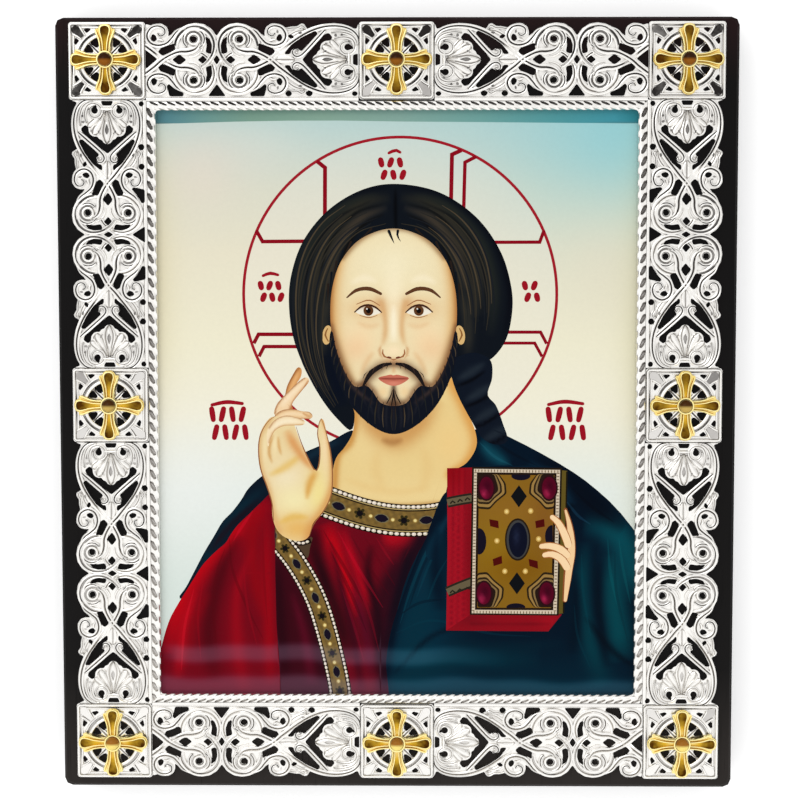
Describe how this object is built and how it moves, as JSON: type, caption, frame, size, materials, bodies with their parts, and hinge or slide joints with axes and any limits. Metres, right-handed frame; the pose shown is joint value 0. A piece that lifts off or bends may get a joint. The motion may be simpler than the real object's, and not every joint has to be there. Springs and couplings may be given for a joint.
{
  "type": "framed icon",
  "caption": "Devotional icon: a wooden board with a recessed glossy picture inside a cast openwork silver frame with gilt crosses, cabochons and a rope moulding.",
  "frame": {"origin": "centre of the underside of the board, which lies on its back on the plane Z = 0", "axes": "+X to the right of the picture, +Y to the head of the picture, +Z out of the face"},
  "size_m": [0.21, 0.24, 0.0248],
  "materials": {
    "wood": "dark satin lacquer",
    "print": "gloss-lacquered print",
    "silver": "polished silver plate",
    "gilt": "polished gilding",
    "amber": "polished dark amber"
  },
  "bodies": {
    "root": {"backing_board": "wood", "icon_picture": "print", "scroll_panel_top_left": "silver", "scroll_panel_top_right": "silver", "scroll_panel_bottom_left": "silver", "scroll_panel_bottom_right": "silver", "scroll_panel_left_upper": "silver", "scroll_panel_left_lower": "silver", "scroll_panel_right_upper": "silver", "scroll_panel_right_lower": "silver", "cross_tile_top_left": "silver", "cross_tile_top_middle": "silver", "cross_tile_top_right": "silver", "cross_tile_middle_left": "silver", "cross_tile_middle_right": "silver", "cross_tile_bottom_left": "silver", "cross_tile_bottom_middle": "silver", "cross_tile_bottom_right": "silver", "rope_moulding_left": "silver", "rope_moulding_right": "silver", "rope_moulding_top": "silver", "rope_moulding_bottom": "silver", "gilt_cross_top_left": "gilt", "gilt_cross_top_middle": "gilt", "gilt_cross_top_right": "gilt", "gilt_cross_middle_left": "gilt", "gilt_cross_middle_right": "gilt", "gilt_cross_bottom_left": "gilt", "gilt_cross_bottom_middle": "gilt", "gilt_cross_bottom_right": "gilt", "cabochon_top_left": "amber", "cabochon_top_middle": "amber", "cabochon_top_right": "amber", "cabochon_middle_left": "amber", "cabochon_middle_right": "amber", "cabochon_bottom_left": "amber", "cabochon_bottom_middle": "amber", "cabochon_bottom_right": "amber"}
  },
  "joints": []
}
